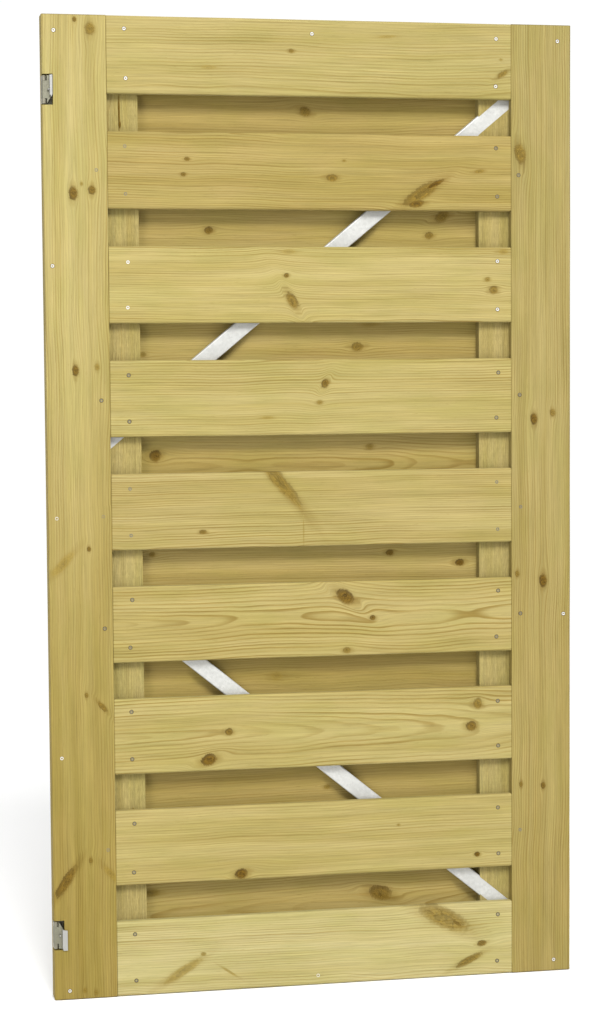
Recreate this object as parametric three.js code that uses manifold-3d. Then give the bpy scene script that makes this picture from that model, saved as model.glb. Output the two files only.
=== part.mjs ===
// A garden gate of hit-and-miss boards on a welded steel frame, in millimetres, +Z up.
// Nine boards in front and eight behind cover each other's gaps; a vertical cover board closes each side.
// Inside, two wooden laths and two battens fill the space beside a galvanised frame with a two-part brace.
// Two folding hinges at the left edge carry the gate: their leaves lie folded in notches of the cover board.
// In the gate's own coordinates x runs from the left edge, y from the front face back, z from the bottom.
import * as THREE from "three";
import { mergeVertices } from "three/addons/utils/BufferGeometryUtils.js";
import Module from "manifold-3d";

// Driving dimensions
const HEIGHT = 1800;
const WIDTH = 992;
const FRONT_BOARDS = 9;
const BOARD_WIDTH = 140;
const BOARD_THICKNESS = 18;
const REAR_THICKNESS = 16;
const REAR_INSET = 8; // how far the rear boards stop short of the gate's edges
const COVER_WIDTH = 116;
const CORE_THICKNESS = 22; // the layer of laths, battens and steel between the two board layers
const LATH_WIDTH = 44;
const BATTEN_REACH = 174.5; // from the gate's edge to the batten's inner edge
const EASED_EDGE = 2;
const FIT = 0.3; // the gap kept between pieces that touch
const BOARD_END_GAP = 0.5;

const TUBE_WIDTH = 30;
const TUBE_DEPTH = 15;
const TUBE_WALL = 1.5;
const TUBE_CORNER = 2.5;
const FRAME_END = 2.5; // how far the frame stops short of the boards at top and bottom
const UPPER_BRACE = { hingeZ: 997, lockZ: 1695 }; // heights where its middle line meets the uprights
const LOWER_BRACE = { hingeZ: 781, lockZ: 86 };

const NOTCH = { width: 19.5, height: 55 };
// The rim is the turned-out free edge of the post leaf; on the lower hinge it reaches over the cover board
const HINGES = [
  { level: "upper", z: 1665.5, cornerSide: -1, rim: { start: 13.8, end: 18.6, overhang: 1 } },
  { level: "lower", z: 120.5, cornerSide: 1, rim: { start: 17, end: 25, overhang: 3 } },
];
const PIN = { x: 4, y: 7, radius: 2.5, length: 52 };
const KNUCKLE_RADIUS = 4;
const KNUCKLE_HEIGHT = 9;
const HINGE_HEIGHT = 50;
const LEAF = { thickness: 3, edge: 18.6, relief: 9, flange: 2.8, cornerX: 8, cornerZ: 16 };
const RIM = { front: -2.8, back: -FIT };
const STRAP = { thickness: 4, front: 20 };
const EAR_FRONT = 13.4; // where the bracket's ear starts behind the turning barrel

const SCREW = { head: 4, headDepth: 3, shank: 2, length: 35, sunk: 0.2 };
const RAIL_SCREW_LENGTH = 30;
const BOLT = { x: 11.6, head: 2.6, headHeight: 2, shank: 1.4 };
// Cover-board screws as [distance in from the gate's nearer edge, height], from top to bottom
const LEFT_OUTER_SCREWS = [[22, 1771], [14.5, 1349], [16, 891], [19, 450], [28, 16]];
const LEFT_INNER_SCREWS = [[96, 1522], [100, 1105], [101, 893], [101, 687], [102, 276]];
const RIGHT_OUTER_SCREWS = [[26, 1770], [14, 690], [33, 21]];
const RIGHT_INNER_SCREWS = [[102, 1520], [100, 1108], [98, 896], [99, 693], [100, 277]];
const RAIL_SCREW_Z = { top: 1774, bottom: 17.5 };

// Derived places
const GAP = (HEIGHT - FRONT_BOARDS * BOARD_WIDTH) / (FRONT_BOARDS - 1);
const PITCH = BOARD_WIDTH + GAP;
const CORE_FRONT = BOARD_THICKNESS + FIT;
const CORE_BACK = CORE_FRONT + CORE_THICKNESS;
const REAR_FRONT = CORE_BACK + FIT;
const DEPTH = REAR_FRONT + REAR_THICKNESS;
const LEAF_FRONT = PIN.y - KNUCKLE_RADIUS; // the folded leaf lies behind the front face, in its notch
const CENTRE_Y = (DEPTH + RIM.front) / 2;
const TUBE_FRONT = CORE_FRONT + FIT;
const UPRIGHT_INNER = LATH_WIDTH + FIT + TUBE_WIDTH;
const BATTEN_START = UPRIGHT_INNER + FIT;
const SPAN_START = UPRIGHT_INNER + FIT;
const SPAN_END = WIDTH - UPRIGHT_INNER - FIT;
const RAIL_Z = { top: HEIGHT - FRAME_END - TUBE_WIDTH / 2, bottom: FRAME_END + TUBE_WIDTH / 2 };
const ROUND_SEGMENTS = 24;
const SCREW_SEGMENTS = 10;

const wasm = await Module();
wasm.setup();

const gate = new THREE.Group();
gate.position.set(-WIDTH / 2, -CENTRE_Y, 0);

function paint(color, roughness, metalness) {
  return () => new THREE.MeshStandardMaterial({ color, roughness, metalness });
}
const coverPine = paint("#c9b377", 0.75, 0);
const boardPine = paint("#cdb97c", 0.75, 0);
const rearPine = paint("#ad9558", 0.8, 0);
const sawnPine = paint("#a99a5c", 0.85, 0);
const galvanised = paint("#c9cbc8", 0.45, 0.8);
const zincHardware = paint("#d4d6d6", 0.35, 0.9);

function add(name, geometry, finish) {
  const mesh = new THREE.Mesh(geometry, finish());
  mesh.name = name;
  gate.add(mesh);
}

// Solid work

function solidOf(geometry) {
  const bare = geometry.clone();
  bare.deleteAttribute("normal");
  bare.deleteAttribute("uv");
  const merged = mergeVertices(bare, 1e-3);
  const vertProperties = merged.attributes.position.array;
  const triVerts = new Uint32Array(merged.index.array);
  return new wasm.Manifold(new wasm.Mesh({ numProp: 3, vertProperties, triVerts }));
}

function geometryOf(solid) {
  const mesh = solid.getMesh();
  const geometry = new THREE.BufferGeometry();
  geometry.setAttribute("position", new THREE.BufferAttribute(mesh.vertProperties, 3));
  geometry.setIndex(new THREE.BufferAttribute(mesh.triVerts, 1));
  return geometry;
}

function cut(geometry, tools) {
  return geometryOf(tools.reduce((solid, tool) => solid.subtract(solidOf(tool)), solidOf(geometry)));
}

function join(geometries) {
  const [first, ...rest] = geometries.map(solidOf);
  return geometryOf(rest.reduce((solid, other) => solid.add(other), first));
}

// Basic shapes, given by their low and high corners or their ends

function block([x0, x1], [y0, y1], [z0, z1]) {
  const box = new THREE.BoxGeometry(x1 - x0, y1 - y0, z1 - z0);
  return box.translate((x0 + x1) / 2, (y0 + y1) / 2, (z0 + z1) / 2);
}

function easedOutline(width, thickness, ease) {
  const [w, t] = [width / 2, thickness / 2];
  const outline = new THREE.Shape();
  outline.moveTo(-w + ease, -t);
  outline.lineTo(w - ease, -t).lineTo(w, -t + ease).lineTo(w, t - ease).lineTo(w - ease, t);
  outline.lineTo(-w + ease, t).lineTo(-w, t - ease).lineTo(-w, -t + ease).closePath();
  return outline;
}

function roundedOutline(width, depth, corner, path = new THREE.Shape()) {
  const [w, d] = [width / 2, depth / 2];
  path.moveTo(w, -d + corner).lineTo(w, d - corner);
  path.absarc(w - corner, d - corner, corner, 0, Math.PI / 2);
  path.absarc(-w + corner, d - corner, corner, Math.PI / 2, Math.PI);
  path.absarc(-w + corner, -d + corner, corner, Math.PI, 1.5 * Math.PI);
  path.absarc(w - corner, -d + corner, corner, 1.5 * Math.PI, 2 * Math.PI);
  return path;
}

// A bar that stands on its lower end; the outline's own y is the gate's y
function standingBar(outline, length) {
  return new THREE.ExtrudeGeometry(outline, { depth: length, bevelEnabled: false, curveSegments: 3 });
}

// The same bar laid along +X, starting at x = 0
function lyingBar(outline, length) {
  return standingBar(outline, length).rotateY(Math.PI / 2);
}

function tubeOutline() {
  const outline = roundedOutline(TUBE_WIDTH, TUBE_DEPTH, TUBE_CORNER);
  const bore = [TUBE_WIDTH - 2 * TUBE_WALL, TUBE_DEPTH - 2 * TUBE_WALL, TUBE_CORNER - TUBE_WALL];
  outline.holes.push(roundedOutline(...bore, new THREE.Path()));
  return outline;
}

// A turned piece whose axis runs along +Y from its front end; the profile is [radius, y] pairs
function turned(profile, x, y, z, segments) {
  const points = profile.map(([radius, along]) => new THREE.Vector2(radius, along));
  return new THREE.LatheGeometry(points, segments).translate(x, y, z);
}

function pivotRod(radius, z0, z1) {
  const rod = new THREE.CylinderGeometry(radius, radius, z1 - z0, ROUND_SEGMENTS).rotateX(Math.PI / 2);
  return rod.translate(PIN.x, PIN.y, (z0 + z1) / 2);
}

// Screws and the holes that they sit in

function screwProfile(length, spare) {
  const [head, shank] = [SCREW.head + spare, SCREW.shank + spare];
  const tip = length + spare;
  return [[0, 0], [head, 0], [shank, SCREW.headDepth], [shank, tip - SCREW.shank], [0, tip]];
}

function screw(x, z, length) {
  return turned(screwProfile(length, 0), x, SCREW.sunk, z, SCREW_SEGMENTS);
}

function screwHole(x, z, length) {
  const body = screwProfile(length, FIT).slice(2);
  const mouth = SCREW.head + FIT;
  const profile = [[0, -1], [mouth, -1], [mouth, SCREW.sunk], ...body];
  return turned(profile, x, 0, z, SCREW_SEGMENTS);
}

// Boards

function frontBoardZ(row) {
  return HEIGHT - BOARD_WIDTH / 2 - row * PITCH;
}

function frontBoard(row) {
  const length = WIDTH - 2 * COVER_WIDTH - 2 * BOARD_END_GAP;
  const bar = lyingBar(easedOutline(BOARD_WIDTH, BOARD_THICKNESS, EASED_EDGE), length);
  return bar.translate(COVER_WIDTH + BOARD_END_GAP, BOARD_THICKNESS / 2, frontBoardZ(row));
}

function rearBoard(row) {
  const z = frontBoardZ(row) - PITCH / 2;
  const bar = lyingBar(easedOutline(BOARD_WIDTH, REAR_THICKNESS, EASED_EDGE), WIDTH - 2 * REAR_INSET);
  return bar.translate(REAR_INSET, REAR_FRONT + REAR_THICKNESS / 2, z);
}

function coverBoard(x, screws, extraCuts) {
  const bar = standingBar(easedOutline(COVER_WIDTH, BOARD_THICKNESS, EASED_EDGE), HEIGHT);
  const board = bar.translate(x + COVER_WIDTH / 2, BOARD_THICKNESS / 2, 0);
  return cut(board, [...holesFor(screws), ...extraCuts]);
}

function holesFor(screws) {
  return screws.map(([x, z]) => screwHole(x, z, SCREW.length));
}

// The frame of rectangular tube

function standingTube(x) {
  const tube = standingBar(tubeOutline(), HEIGHT - 2 * FRAME_END);
  return tube.translate(x + TUBE_WIDTH / 2, TUBE_FRONT + TUBE_DEPTH / 2, FRAME_END);
}

function rail(z, screwZ) {
  const tube = lyingBar(tubeOutline(), SPAN_END - SPAN_START);
  tube.translate(SPAN_START, TUBE_FRONT + TUBE_DEPTH / 2, z);
  return cut(tube, [screwHole(WIDTH / 2, screwZ, RAIL_SCREW_LENGTH)]);
}

// A brace's bar through its two meeting points, longer than it needs to be
function slantedBar({ hingeZ, lockZ }, outline) {
  const run = SPAN_END - SPAN_START;
  const spare = TUBE_WIDTH * 2;
  const length = Math.hypot(run, lockZ - hingeZ) + 2 * spare;
  const bar = lyingBar(outline, length).translate(-length / 2, 0, 0);
  bar.rotateY(-Math.atan2(lockZ - hingeZ, run));
  return bar.translate(WIDTH / 2, TUBE_FRONT + TUBE_DEPTH / 2, (hingeZ + lockZ) / 2);
}

function brace(ends) {
  const between = block([SPAN_START, SPAN_END], [0, DEPTH], [0, HEIGHT]);
  return geometryOf(solidOf(slantedBar(ends, tubeOutline())).intersect(solidOf(between)));
}

// Everything that the wood of the core layer makes room for

function tubeRoom() {
  return roundedOutline(TUBE_WIDTH + 2 * FIT, TUBE_DEPTH + 2 * FIT, TUBE_CORNER);
}

function braceRoom(ends) {
  return slantedBar(ends, tubeRoom());
}

function railRoom(z) {
  const half = TUBE_WIDTH / 2 + FIT;
  return block([0, WIDTH], [0, TUBE_FRONT + TUBE_DEPTH + FIT], [z - half, z + half]);
}

function batten(x0, x1, screws) {
  const body = block([x0, x1], [CORE_FRONT, CORE_BACK], [0, HEIGHT]);
  const rails = [railRoom(RAIL_Z.top), railRoom(RAIL_Z.bottom)];
  const braces = [braceRoom(UPPER_BRACE), braceRoom(LOWER_BRACE)];
  return cut(body, [...rails, ...braces, ...holesFor(screws)]);
}

function lath(x0, x1, screws, extraCuts) {
  const body = block([x0, x1], [CORE_FRONT, CORE_BACK], [0, HEIGHT]);
  return cut(body, [...holesFor(screws), ...extraCuts]);
}

// Hinges: a bracket welded to the upright, a pin, and a leaf with a bolt that goes to the post

function notchCut(z) {
  const half = NOTCH.height / 2;
  return block([-1, NOTCH.width], [-1, BOARD_THICKNESS + 1], [z - half, z + half]);
}

function strapRoom(z) {
  const half = HINGE_HEIGHT / 2 + FIT;
  return block([-1, LATH_WIDTH + 1], [0, STRAP.front + STRAP.thickness + FIT], [z - half, z + half]);
}

function hingeBracket(z) {
  const half = HINGE_HEIGHT / 2;
  const inner = half - KNUCKLE_HEIGHT;
  const back = STRAP.front + STRAP.thickness;
  const pieces = [
    block([0, LATH_WIDTH], [STRAP.front, back], [z - half, z + half]),
    block([0, PIN.x], [EAR_FRONT, back], [z - half, z + half]),
  ];
  for (const [low, high] of [[inner, half], [-half, -inner]]) {
    pieces.push(block([0, PIN.x], [PIN.y, EAR_FRONT + 1], [z + low, z + high]));
    pieces.push(pivotRod(KNUCKLE_RADIUS, z + low, z + high));
  }
  return cut(join(pieces), [pivotRod(PIN.radius + FIT, z - half - 1, z + half + 1)]);
}

function hingePin(z) {
  const half = PIN.length / 2;
  const chamfer = 0.8;
  const profile = [[0, -half], [PIN.radius - chamfer, -half], [PIN.radius, chamfer - half]];
  profile.push([PIN.radius, half - chamfer], [PIN.radius - chamfer, half], [0, half]);
  const points = profile.map(([radius, along]) => new THREE.Vector2(radius, along));
  return new THREE.LatheGeometry(points, ROUND_SEGMENTS).rotateX(Math.PI / 2).translate(PIN.x, PIN.y, z);
}

// A plate in the plane of the front face, between two depths; the corners are [x, height] pairs
function plate(corners, front, back) {
  const outline = new THREE.Shape(corners.map(([x, up]) => new THREE.Vector2(x, up)));
  const flat = new THREE.ExtrudeGeometry(outline, { depth: back - front, bevelEnabled: false });
  return flat.rotateX(Math.PI / 2).translate(0, back, 0);
}

// The leaf's cut corner points towards the middle of the gate: cornerSide is 1 when that is upwards
function postLeaf({ z, cornerSide, rim }) {
  const half = HINGE_HEIGHT / 2;
  const barrel = half - KNUCKLE_HEIGHT - FIT;
  const { thickness, edge, relief, cornerX, cornerZ } = LEAF;
  const cornerLow = half - cornerZ;
  const slope = cornerZ / (edge - relief);
  const web = [
    [PIN.x, -barrel], [relief, -barrel], [relief, -half], [edge, -half], [edge, cornerLow],
    [edge - cornerX, cornerLow + cornerX * slope], [relief, half], [relief, barrel], [PIN.x, barrel],
  ];
  const ends = [-half - rim.overhang, cornerLow];
  const free = [[rim.start, ends[0]], [rim.end, ends[0]], [rim.end, ends[1]], [rim.start, ends[1] + slope]];
  const inner = edge - LEAF.flange;
  const innerTop = cornerLow + LEAF.flange * slope;
  const flange = [[inner, -half], [edge, -half], [edge, cornerLow], [inner, innerTop]];
  const turn = ([x, up]) => [x, up * cornerSide];
  const pieces = [
    plate(web.map(turn), LEAF_FRONT, LEAF_FRONT + thickness).translate(0, 0, z),
    plate(flange.map(turn), RIM.front, LEAF_FRONT + thickness).translate(0, 0, z),
    plate(free.map(turn), RIM.front, RIM.back).translate(0, 0, z),
    pivotRod(KNUCKLE_RADIUS, z - barrel, z + barrel),
  ];
  const room = BOLT.shank + FIT;
  const hole = [[0, -1], [room, -1], [room, thickness + 1], [0, thickness + 1]];
  const boltHole = turned(hole, BOLT.x, LEAF_FRONT, z, SCREW_SEGMENTS);
  return cut(join(pieces), [pivotRod(PIN.radius + FIT, z - half, z + half), boltHole]);
}

// The bolt's head sits behind the folded leaf and its end comes level with the rim
function leafBolt({ z }) {
  const { head, headHeight, shank } = BOLT;
  const seat = LEAF_FRONT + LEAF.thickness + FIT;
  const rear = [[head, seat], [head, seat + headHeight], [0, seat + headHeight]];
  const profile = [[0, RIM.front], [shank, RIM.front + 1], [shank, seat], ...rear];
  return turned(profile, BOLT.x, 0, z, SCREW_SEGMENTS);
}

// Assembly

function mirrored(screws) {
  return screws.map(([inset, z]) => [WIDTH - inset, z]);
}

const rightOuter = mirrored(RIGHT_OUTER_SCREWS);
const rightInner = mirrored(RIGHT_INNER_SCREWS);
const leftScrews = [...LEFT_OUTER_SCREWS, ...LEFT_INNER_SCREWS];
const notches = HINGES.map(({ z }) => notchCut(z));
const strapRooms = HINGES.map(({ z }) => strapRoom(z));

add("left_cover_board", coverBoard(0, leftScrews, notches), coverPine);
add("right_cover_board", coverBoard(WIDTH - COVER_WIDTH, [...rightOuter, ...rightInner], []), coverPine);

for (let row = 0; row < FRONT_BOARDS; row += 1) {
  const railScrewZ = { 0: RAIL_SCREW_Z.top, [FRONT_BOARDS - 1]: RAIL_SCREW_Z.bottom }[row];
  const holes = railScrewZ ? [screwHole(WIDTH / 2, railScrewZ, RAIL_SCREW_LENGTH)] : [];
  add(`front_board_${row + 1}`, cut(frontBoard(row), holes), boardPine);
}
for (let row = 0; row < FRONT_BOARDS - 1; row += 1) {
  add(`rear_board_${row + 1}`, rearBoard(row), rearPine);
}

add("hinge_side_lath", lath(0, LATH_WIDTH, LEFT_OUTER_SCREWS, strapRooms), sawnPine);
add("lock_side_lath", lath(WIDTH - LATH_WIDTH, WIDTH, rightOuter, []), sawnPine);
add("hinge_side_batten", batten(BATTEN_START, BATTEN_REACH, LEFT_INNER_SCREWS), sawnPine);
add("lock_side_batten", batten(WIDTH - BATTEN_REACH, WIDTH - BATTEN_START, rightInner), sawnPine);

add("frame_hinge_upright", standingTube(LATH_WIDTH + FIT), galvanised);
add("frame_lock_upright", standingTube(WIDTH - UPRIGHT_INNER), galvanised);
add("frame_top_rail", rail(RAIL_Z.top, RAIL_SCREW_Z.top), galvanised);
add("frame_bottom_rail", rail(RAIL_Z.bottom, RAIL_SCREW_Z.bottom), galvanised);
add("upper_brace", brace(UPPER_BRACE), galvanised);
add("lower_brace", brace(LOWER_BRACE), galvanised);

for (const hinge of HINGES) {
  add(`${hinge.level}_hinge_bracket`, hingeBracket(hinge.z), galvanised);
  add(`${hinge.level}_hinge_pin`, hingePin(hinge.z), zincHardware);
  add(`${hinge.level}_post_leaf`, postLeaf(hinge), zincHardware);
  add(`${hinge.level}_leaf_bolt`, leafBolt(hinge), zincHardware);
}

const coverScrews = {
  left_outer: LEFT_OUTER_SCREWS,
  left_inner: LEFT_INNER_SCREWS,
  right_outer: rightOuter,
  right_inner: rightInner,
};
for (const [line, places] of Object.entries(coverScrews)) {
  places.forEach(([x, z], i) => add(`${line}_screw_${i + 1}`, screw(x, z, SCREW.length), zincHardware));
}
add("top_rail_screw", screw(WIDTH / 2, RAIL_SCREW_Z.top, RAIL_SCREW_LENGTH), zincHardware);
add("bottom_rail_screw", screw(WIDTH / 2, RAIL_SCREW_Z.bottom, RAIL_SCREW_LENGTH), zincHardware);

export default gate;
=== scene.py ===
"""The looks of a garden gate: green-treated pine on a galvanised frame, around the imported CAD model.

Lengths inside the piece builders are millimetres in the gate's own coordinates:
x from the left edge, y from the front face backwards, z from the bottom.
"""
import math
import random

import bmesh
import bpy
from mathutils import Matrix, Vector

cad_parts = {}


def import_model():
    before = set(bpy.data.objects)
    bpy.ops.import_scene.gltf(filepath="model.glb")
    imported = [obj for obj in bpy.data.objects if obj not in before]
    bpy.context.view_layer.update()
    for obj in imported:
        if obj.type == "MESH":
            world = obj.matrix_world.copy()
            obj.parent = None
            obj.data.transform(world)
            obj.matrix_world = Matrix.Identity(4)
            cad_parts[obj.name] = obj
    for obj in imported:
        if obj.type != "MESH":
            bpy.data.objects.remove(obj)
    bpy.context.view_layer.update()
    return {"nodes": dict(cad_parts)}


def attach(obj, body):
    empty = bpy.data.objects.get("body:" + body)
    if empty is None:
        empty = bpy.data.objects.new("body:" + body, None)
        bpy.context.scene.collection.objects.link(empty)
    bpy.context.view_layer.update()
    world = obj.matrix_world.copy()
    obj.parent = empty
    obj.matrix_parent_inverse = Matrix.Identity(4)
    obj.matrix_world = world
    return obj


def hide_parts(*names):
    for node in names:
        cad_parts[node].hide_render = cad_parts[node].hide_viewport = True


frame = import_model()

MM = 0.001
LEAF = "gate_leaf"

# The gate's driving dimensions, as the CAD has them
WIDTH, HEIGHT = 992.0, 1800.0
CENTRE_Y = 26.9
BOARD, THICK = 140.0, 18.0
FRONT_ROWS, REAR_ROWS = 9, 8
REAR_THICK, REAR_FRONT, REAR_INSET = 16.0, 40.6, 8.0
COVER = 116.0
PITCH = 207.5
END_GAP = 0.1
NOTCH_DEPTH, NOTCH_HALF = 19.5, 27.5
HINGE_Z = (1665.5, 120.5)
CORE_MIDDLE = 29.3  # depth of the middle of the layer between the boards
TUBE_W, TUBE_D, TUBE_R, TUBE_WALL, TUBE_FRONT = 30.0, 15.0, 2.5, 1.5, 18.6
FRAME_END = 2.5
SPAN = (74.6, 917.4)
UPRIGHTS = {"frame_hinge_upright": 59.3, "frame_lock_upright": 932.7}
RAILS = {"frame_top_rail": 1782.5, "frame_bottom_rail": 17.5}
BRACES = {"upper_brace": (997.0, 1695.0), "lower_brace": (781.0, 86.0)}
BATTENS = {"hinge_side_batten": 124.55, "lock_side_batten": 867.45}
LATHS = {"hinge_side_lath": 22.0, "lock_side_lath": 970.0}
BATTEN_WIDTH, LATH_WIDTH = 100, 44

# The screws, in the gate's own x and z
COVER_SCREWS = {
    "left_outer": [(22, 1771), (14.5, 1349), (16, 891), (19, 450), (28, 16)],
    "left_inner": [(96, 1522), (100, 1105), (101, 893), (101, 687), (102, 276)],
    "right_outer": [(966, 1770), (978, 690), (959, 21)],
    "right_inner": [(890, 1520), (892, 1108), (894, 896), (893, 693), (892, 277)],
}
RAIL_SCREWS = {"top_rail_screw": 1774, "bottom_rail_screw": 17.5}
FRONT_SCREW_X = (150, 848)
SCREW_STRAY_Z = 3
FRONT_SCREW_STRAY, REAR_SCREW_STRAY = 2.5, 2
FRONT_SCREW_RISE = 44  # above and below a front board's middle
REAR_SCREW_X = (22, 124.5, WIDTH - 124.5, WIDTH - 22)
REAR_SCREW_RISE = 42
SHINY_ROWS = (0, 2)  # front boards whose screws are drawn in the bright zinc, the rest in the dull

# Roundings of a board's long edges and sawn ends, and how finely a board is divided
FRONT_EASES = (4.0, 4.0, 0.25)
REAR_EASES = (3.6, 3.6, 0.8)
LEFT_COVER_EASES = (3.4, 0.5, 0.8)
RIGHT_COVER_EASES = (0.8, 3.4, 0.8)
COVER_CUP = 0.15
GRID_ALONG, GRID_ACROSS = 26.0, 14.0
GRID_CLEARANCE = 4.5
EASE_MARGIN = 1.5  # flat wood left between a rounding and the next line of the grid
LONG_EASE_STEPS, SAWN_EASE_STEPS = 4, 2

# A board's waves: height, radians per millimetre, and how far the seed turns them.
# The first two go in and out of its face, and the third moves its long edges.
WAVES = ((0.22, 0.011, 1.0), (0.12, 0.031, 2.7), (0.12, 0.019, 1.9))
MIDDLE_WAVE, RIM_WAVE = 0.4, 0.6
SHARP_ANGLE = 0.6  # radians between two faces that make their edge a sharp one

# Studio
FLOOR_HALF = 4.5  # metres
ROOM_LIGHT = 0.45  # the room in front of the gate
BACKDROP_LIGHT = 1.03  # behind and above it
STUDIO_LEVEL = 2.15  # how much brighter than its paint a front face looks under the studio light
HIGHLIGHT_DEPTH = 1.5  # millimetres in front of the boards' face over which dull zinc fades into a painted highlight

rng = random.Random(41)


def row_point(x, y, z):
    """A point of the gate's own millimetres, in the row frame in metres."""
    return Vector(((x - WIDTH / 2) * MM, (y - CENTRE_Y) * MM, z * MM))


# Shader graph helpers


class Graph:
    """Adds nodes to one shader tree and joins them by value or by socket."""

    def __init__(self, tree):
        self.tree = tree

    def node(self, kind, **settings):
        made = self.tree.nodes.new(kind)
        for key, value in settings.items():
            setattr(made, key, value)
        return made

    def feed(self, socket, value):
        if isinstance(value, bpy.types.NodeSocket):
            self.tree.links.new(value, socket)
        else:
            socket.default_value = value

    def fill(self, made, values):
        """Feeds a node's inputs in order."""
        for socket, value in zip(made.inputs, values):
            self.feed(socket, value)
        return made

    def math(self, operation, *values, clamp=False):
        made = self.node("ShaderNodeMath", operation=operation, use_clamp=clamp)
        return self.fill(made, values).outputs[0]

    def add(self, a, b, clamp=False):
        return self.math("ADD", a, b, clamp=clamp)

    def sub(self, a, b):
        return self.math("SUBTRACT", a, b)

    def mul(self, a, b, clamp=False):
        return self.math("MULTIPLY", a, b, clamp=clamp)

    def vec(self, operation, *values, out="Vector"):
        return self.fill(self.node("ShaderNodeVectorMath", operation=operation), values).outputs[out]

    def scale(self, vector, factor):
        made = self.node("ShaderNodeVectorMath", operation="SCALE")
        self.feed(made.inputs["Vector"], vector)
        self.feed(made.inputs["Scale"], factor)
        return made.outputs["Vector"]

    def vary(self, color, signed, amount):
        """The colour, brighter or darker by an amount times a signed value."""
        return self.scale(color, self.add(1.0, self.mul(signed, amount)))

    def split(self, vector):
        made = self.node("ShaderNodeSeparateXYZ")
        self.feed(made.inputs[0], vector)
        return made.outputs

    def join(self, x, y, z):
        return self.fill(self.node("ShaderNodeCombineXYZ"), (x, y, z)).outputs[0]

    def run(self, along, across, third, frequency):
        """A place whose pattern repeats at one frequency along the grain and another across it."""
        return self.join(self.mul(along, frequency[0]), self.mul(across, frequency[1]), third)

    def noise(self, vector, scale=1.0, detail=2.0, rough=0.5, distortion=0.0):
        made = self.node("ShaderNodeTexNoise")
        self.feed(made.inputs["Vector"], vector)
        made.inputs["Scale"].default_value = scale
        made.inputs["Detail"].default_value = detail
        made.inputs["Roughness"].default_value = rough
        made.inputs["Distortion"].default_value = distortion
        return made.outputs["Fac"]

    def signed(self, *settings):
        """Noise about zero."""
        return self.sub(self.noise(*settings), 0.5)

    def step(self, value, low, high, to_low=0.0, to_high=1.0):
        made = self.node("ShaderNodeMapRange", interpolation_type="SMOOTHSTEP")
        return self.fill(made, (value, low, high, to_low, to_high)).outputs[0]

    def fade(self, value, low, high):
        """One below low, falling to nothing at high."""
        return self.step(value, low, high, 1.0, 0.0)

    def mix(self, factor, a, b, blend="MIX"):
        made = self.node("ShaderNodeMix", data_type="RGBA", blend_type=blend)
        self.feed(made.inputs["Factor"], factor)
        self.feed(made.inputs[6], a)
        self.feed(made.inputs[7], b)
        return made.outputs[2]

    def stain(self, factor, color, tint):
        """The colour, multiplied by a tint where the factor is one."""
        return self.mix(factor, color, self.mix(1.0, color, tint, "MULTIPLY"))

    def mix_vec(self, factor, a, b):
        made = self.node("ShaderNodeMix", data_type="VECTOR")
        self.feed(made.inputs[0], factor)
        self.feed(made.inputs[4], a)
        self.feed(made.inputs[5], b)
        return made.outputs[1]

    def mix_value(self, factor, a, b):
        made = self.node("ShaderNodeMix", data_type="FLOAT")
        self.feed(made.inputs[0], factor)
        self.feed(made.inputs[2], a)
        self.feed(made.inputs[3], b)
        return made.outputs[0]


def new_group(name, inputs, outputs):
    """An empty node group with the given sockets; returns its graph, its inputs and its outputs."""
    tree = bpy.data.node_groups.new(name, "ShaderNodeTree")
    kinds = {"v": "NodeSocketVector", "f": "NodeSocketFloat", "c": "NodeSocketColor"}
    for rows, side in ((inputs, "INPUT"), (outputs, "OUTPUT")):
        for label, kind in rows:
            tree.interface.new_socket(name=label, in_out=side, socket_type=kinds[kind])
    graph = Graph(tree)
    return graph, graph.node("NodeGroupInput").outputs, graph.node("NodeGroupOutput").inputs


# Pine. Frequencies are per millimetre along and across the grain; other lengths are millimetres.

BEND_REACH = (0.5, 1.0, 0.0)  # the grain starts to bend twice as far off along a knot as across it
ROUND_KNOT = (0.15, 0.75)  # from a streak, which bends nothing, to a round knot
NO_KNOT = 99.0  # a nearest knot that is too far away to show

RING_WANDER_RUN = 0.0035
RING_WANDER = 16.0  # how far the trunk's middle wanders across the board
DEPTH_WANDER = 20.0  # and through it
DEPTH_WANDER_AT = (7.3, 4.1, 2.0)
DEPTH_WANDER_SCALE = 1.7
RIPPLE_RUN, RIPPLE = (0.014, 0.05), 0.55
YEARS_RUN, YEARS_UNEVEN, YEARS_PLACE = 0.31, 1.6, 3.0
LATE_WOOD = (0.42, 0.88)  # where in a ring the late wood darkens
RING_END = (0.9, 1.0)  # and where it stops
RING_STRENGTH = (0.75, 0.3)
PATCH_RUN, PATCH_RANGE, PATCH_PLACE = (0.004, 0.02), (0.3, 0.65, 0.35, 1.15), 9.0

FIBRE_RUN, FIBRE_DETAIL, FIBRE_SHARE = (0.012, 0.62), (3.0, 0.65), 0.62
STREAK_RUN, STREAK_DETAIL, STREAK_SHARE = (0.0035, 0.16), (3.0, 0.6), 0.4
TINT_BASE = 0.49
FLECK_ALONG, FLECK_ACROSS, FLECK_RANGE, FLECK_SHARE = 0.06, 1.3, (0.68, 0.78), 0.45
BAND_RUN, BAND_RANGE = (0.0016, 0.04), (0.3, 0.72)
CLOUD_RUN, CLOUD_RANGE, CLOUD_PLACE = (0.008, 0.022), (0.35, 0.7, 0.0, 0.9), 5.0
PALE_BAND = (1.05, 1.05, 1.08, 1.0)
WARM_BAND = (0.90, 0.875, 0.76, 1.0)
GREEN_CLOUD = (0.93, 0.96, 0.87, 1.0)
LATE_TINT = (0.66, 0.56, 0.38, 1.0)
FLECK_TINT = (0.55, 0.46, 0.32, 1.0)

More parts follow.
